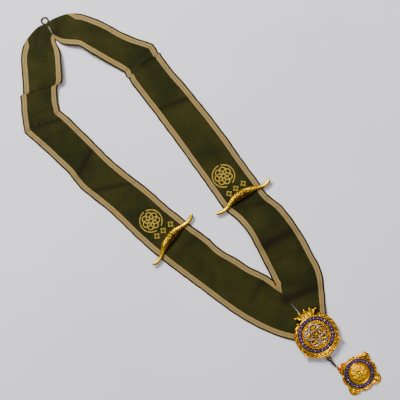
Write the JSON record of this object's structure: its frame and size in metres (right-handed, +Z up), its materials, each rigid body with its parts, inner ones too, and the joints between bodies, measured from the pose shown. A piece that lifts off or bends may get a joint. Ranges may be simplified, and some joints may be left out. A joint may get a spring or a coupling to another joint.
{
  "type": "chain of office",
  "caption": "Ribbon collar with two horn-shaped bars, a crowned enamel medal and a square drop, laid flat.",
  "frame": {"origin": "middle of the footprint, on the surface that the collar lies on", "axes": "+Y from the drop up to the ring at the nape, +X to the right as seen from above, +Z up"},
  "size_m": [0.1558, 0.496, 0.0083],
  "materials": {
    "ribbon": "dark olive green woven ribbon with tan edge stripes",
    "gilt": "gilt casting, bright on the high places and brown in the hollows",
    "dark_wire": "dark tarnished wire",
    "silver": "worn silver",
    "purple_enamel": "glossy purple to navy enamel",
    "red_enamel": "glossy red enamel"
  },
  "bodies": {
    "root": {"neck_band_left": "ribbon", "neck_band_right": "ribbon", "ribbon_left": "ribbon", "ribbon_right": "ribbon", "neck_ring": "dark_wire", "horn_bar_left": "gilt", "horn_bar_right": "gilt", "horn_pin_left": "dark_wire", "horn_pin_right": "dark_wire", "medal_frame": "gilt", "medal_enamel": "purple_enamel", "medal_knot": "silver", "medal_pin": "dark_wire", "link": "dark_wire", "drop_frame": "gilt", "drop_enamel": "purple_enamel", "drop_disc": "gilt", "drop_spot_1": "red_enamel", "drop_spot_2": "red_enamel", "drop_spot_3": "red_enamel"}
  },
  "joints": []
}
